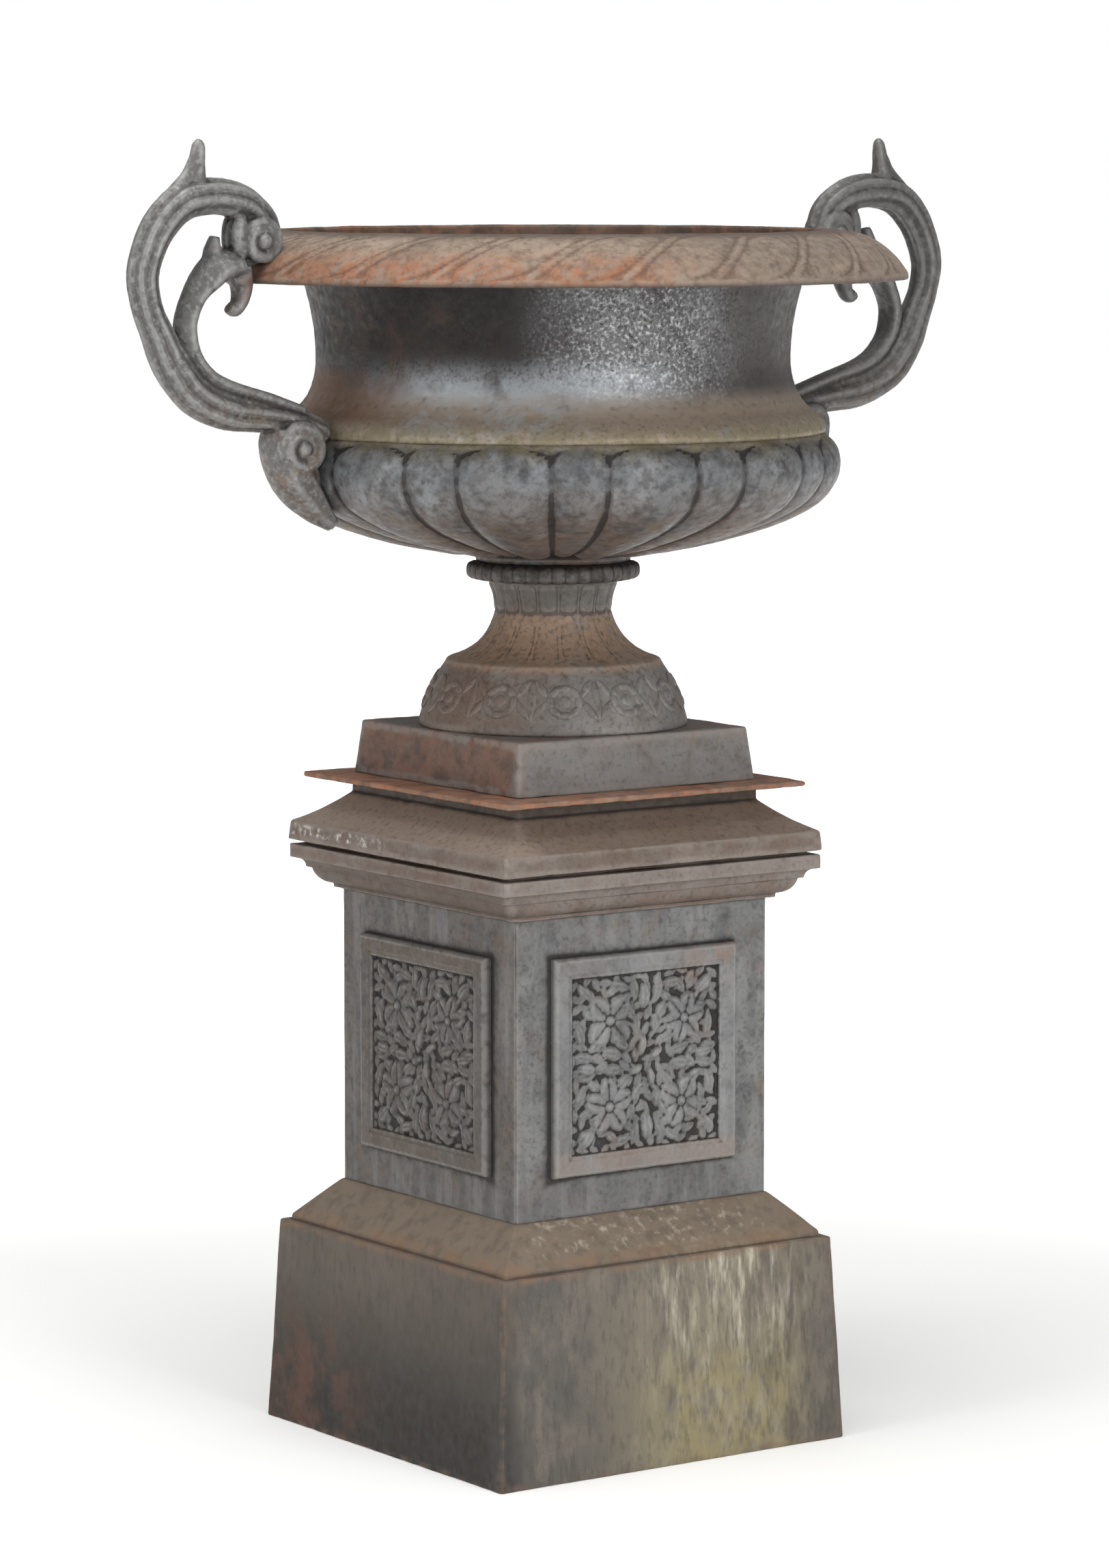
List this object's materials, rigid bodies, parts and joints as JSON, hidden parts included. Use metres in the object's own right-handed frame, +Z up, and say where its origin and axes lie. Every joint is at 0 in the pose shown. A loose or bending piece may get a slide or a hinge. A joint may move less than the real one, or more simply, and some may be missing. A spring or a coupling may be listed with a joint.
{
  "type": "garden urn on stand",
  "caption": "Two-handled cast-iron garden urn with a lobed bowl and a drooping rim, resting on a square pedestal with relief panels, a moulded cornice and a stepped plinth.",
  "frame": {"origin": "ground level under the middle of the plinth, on the urn's upright axis", "axes": "+Z up, +X towards the right handle, +Y away from the front relief panel"},
  "size_m": [0.927, 0.668, 1.2222],
  "materials": {
    "plinth_iron": "weathered cast iron, grey-brown with pale run marks and lichen",
    "stand_iron": "weathered cast iron, worn grey patina with rust in the hollows",
    "angle_iron": "bare rusted angle, out of sight",
    "fixing_steel": "dull steel with light rust",
    "urn_iron": "weathered cast iron, pitted grey with dark brown patches",
    "plate_rust": "rusted plate with worn edges",
    "rim_rust": "worn cast iron with orange-red rust and grey patina",
    "handle_iron": "weathered cast iron, grey with dark hollows"
  },
  "bodies": {
    "stand": {"plinth_base": "plinth_iron", "die_panel_front": "stand_iron", "die_panel_right": "stand_iron", "die_panel_back": "stand_iron", "die_panel_left": "stand_iron", "relief_panel_front": "stand_iron", "relief_panel_right": "stand_iron", "relief_panel_back": "stand_iron", "relief_panel_left": "stand_iron", "corner_angle_front_left": "angle_iron", "corner_angle_front_right": "angle_iron", "corner_angle_back_right": "angle_iron", "corner_angle_back_left": "angle_iron", "corner_bolts": "fixing_steel", "relief_nuts": "fixing_steel", "cornice": "stand_iron", "cap": "stand_iron", "tie_rods": "fixing_steel", "tie_rod_nuts": "fixing_steel", "tie_rod_washers": "fixing_steel"},
    "urn": {"urn_plate": "plate_rust", "square_base": "urn_iron", "foot": "urn_iron", "collar": "urn_iron", "bowl": "urn_iron", "neck": "urn_iron", "rim": "rim_rust", "rim_screws": "fixing_steel", "handle_right": "handle_iron", "handle_left": "handle_iron", "handle_studs": "fixing_steel", "handle_washers": "fixing_steel", "handle_nuts": "fixing_steel", "scroll_studs": "fixing_steel", "scroll_nuts": "fixing_steel", "centre_rod": "fixing_steel", "centre_rod_washers": "fixing_steel", "centre_rod_nuts": "fixing_steel"}
  },
  "joints": [
    {"name": "urn_lift", "type": "slide", "parent": "stand", "child": "urn", "axis": [0, 0, 1], "range_m": [0, 0.3]}
  ]
}
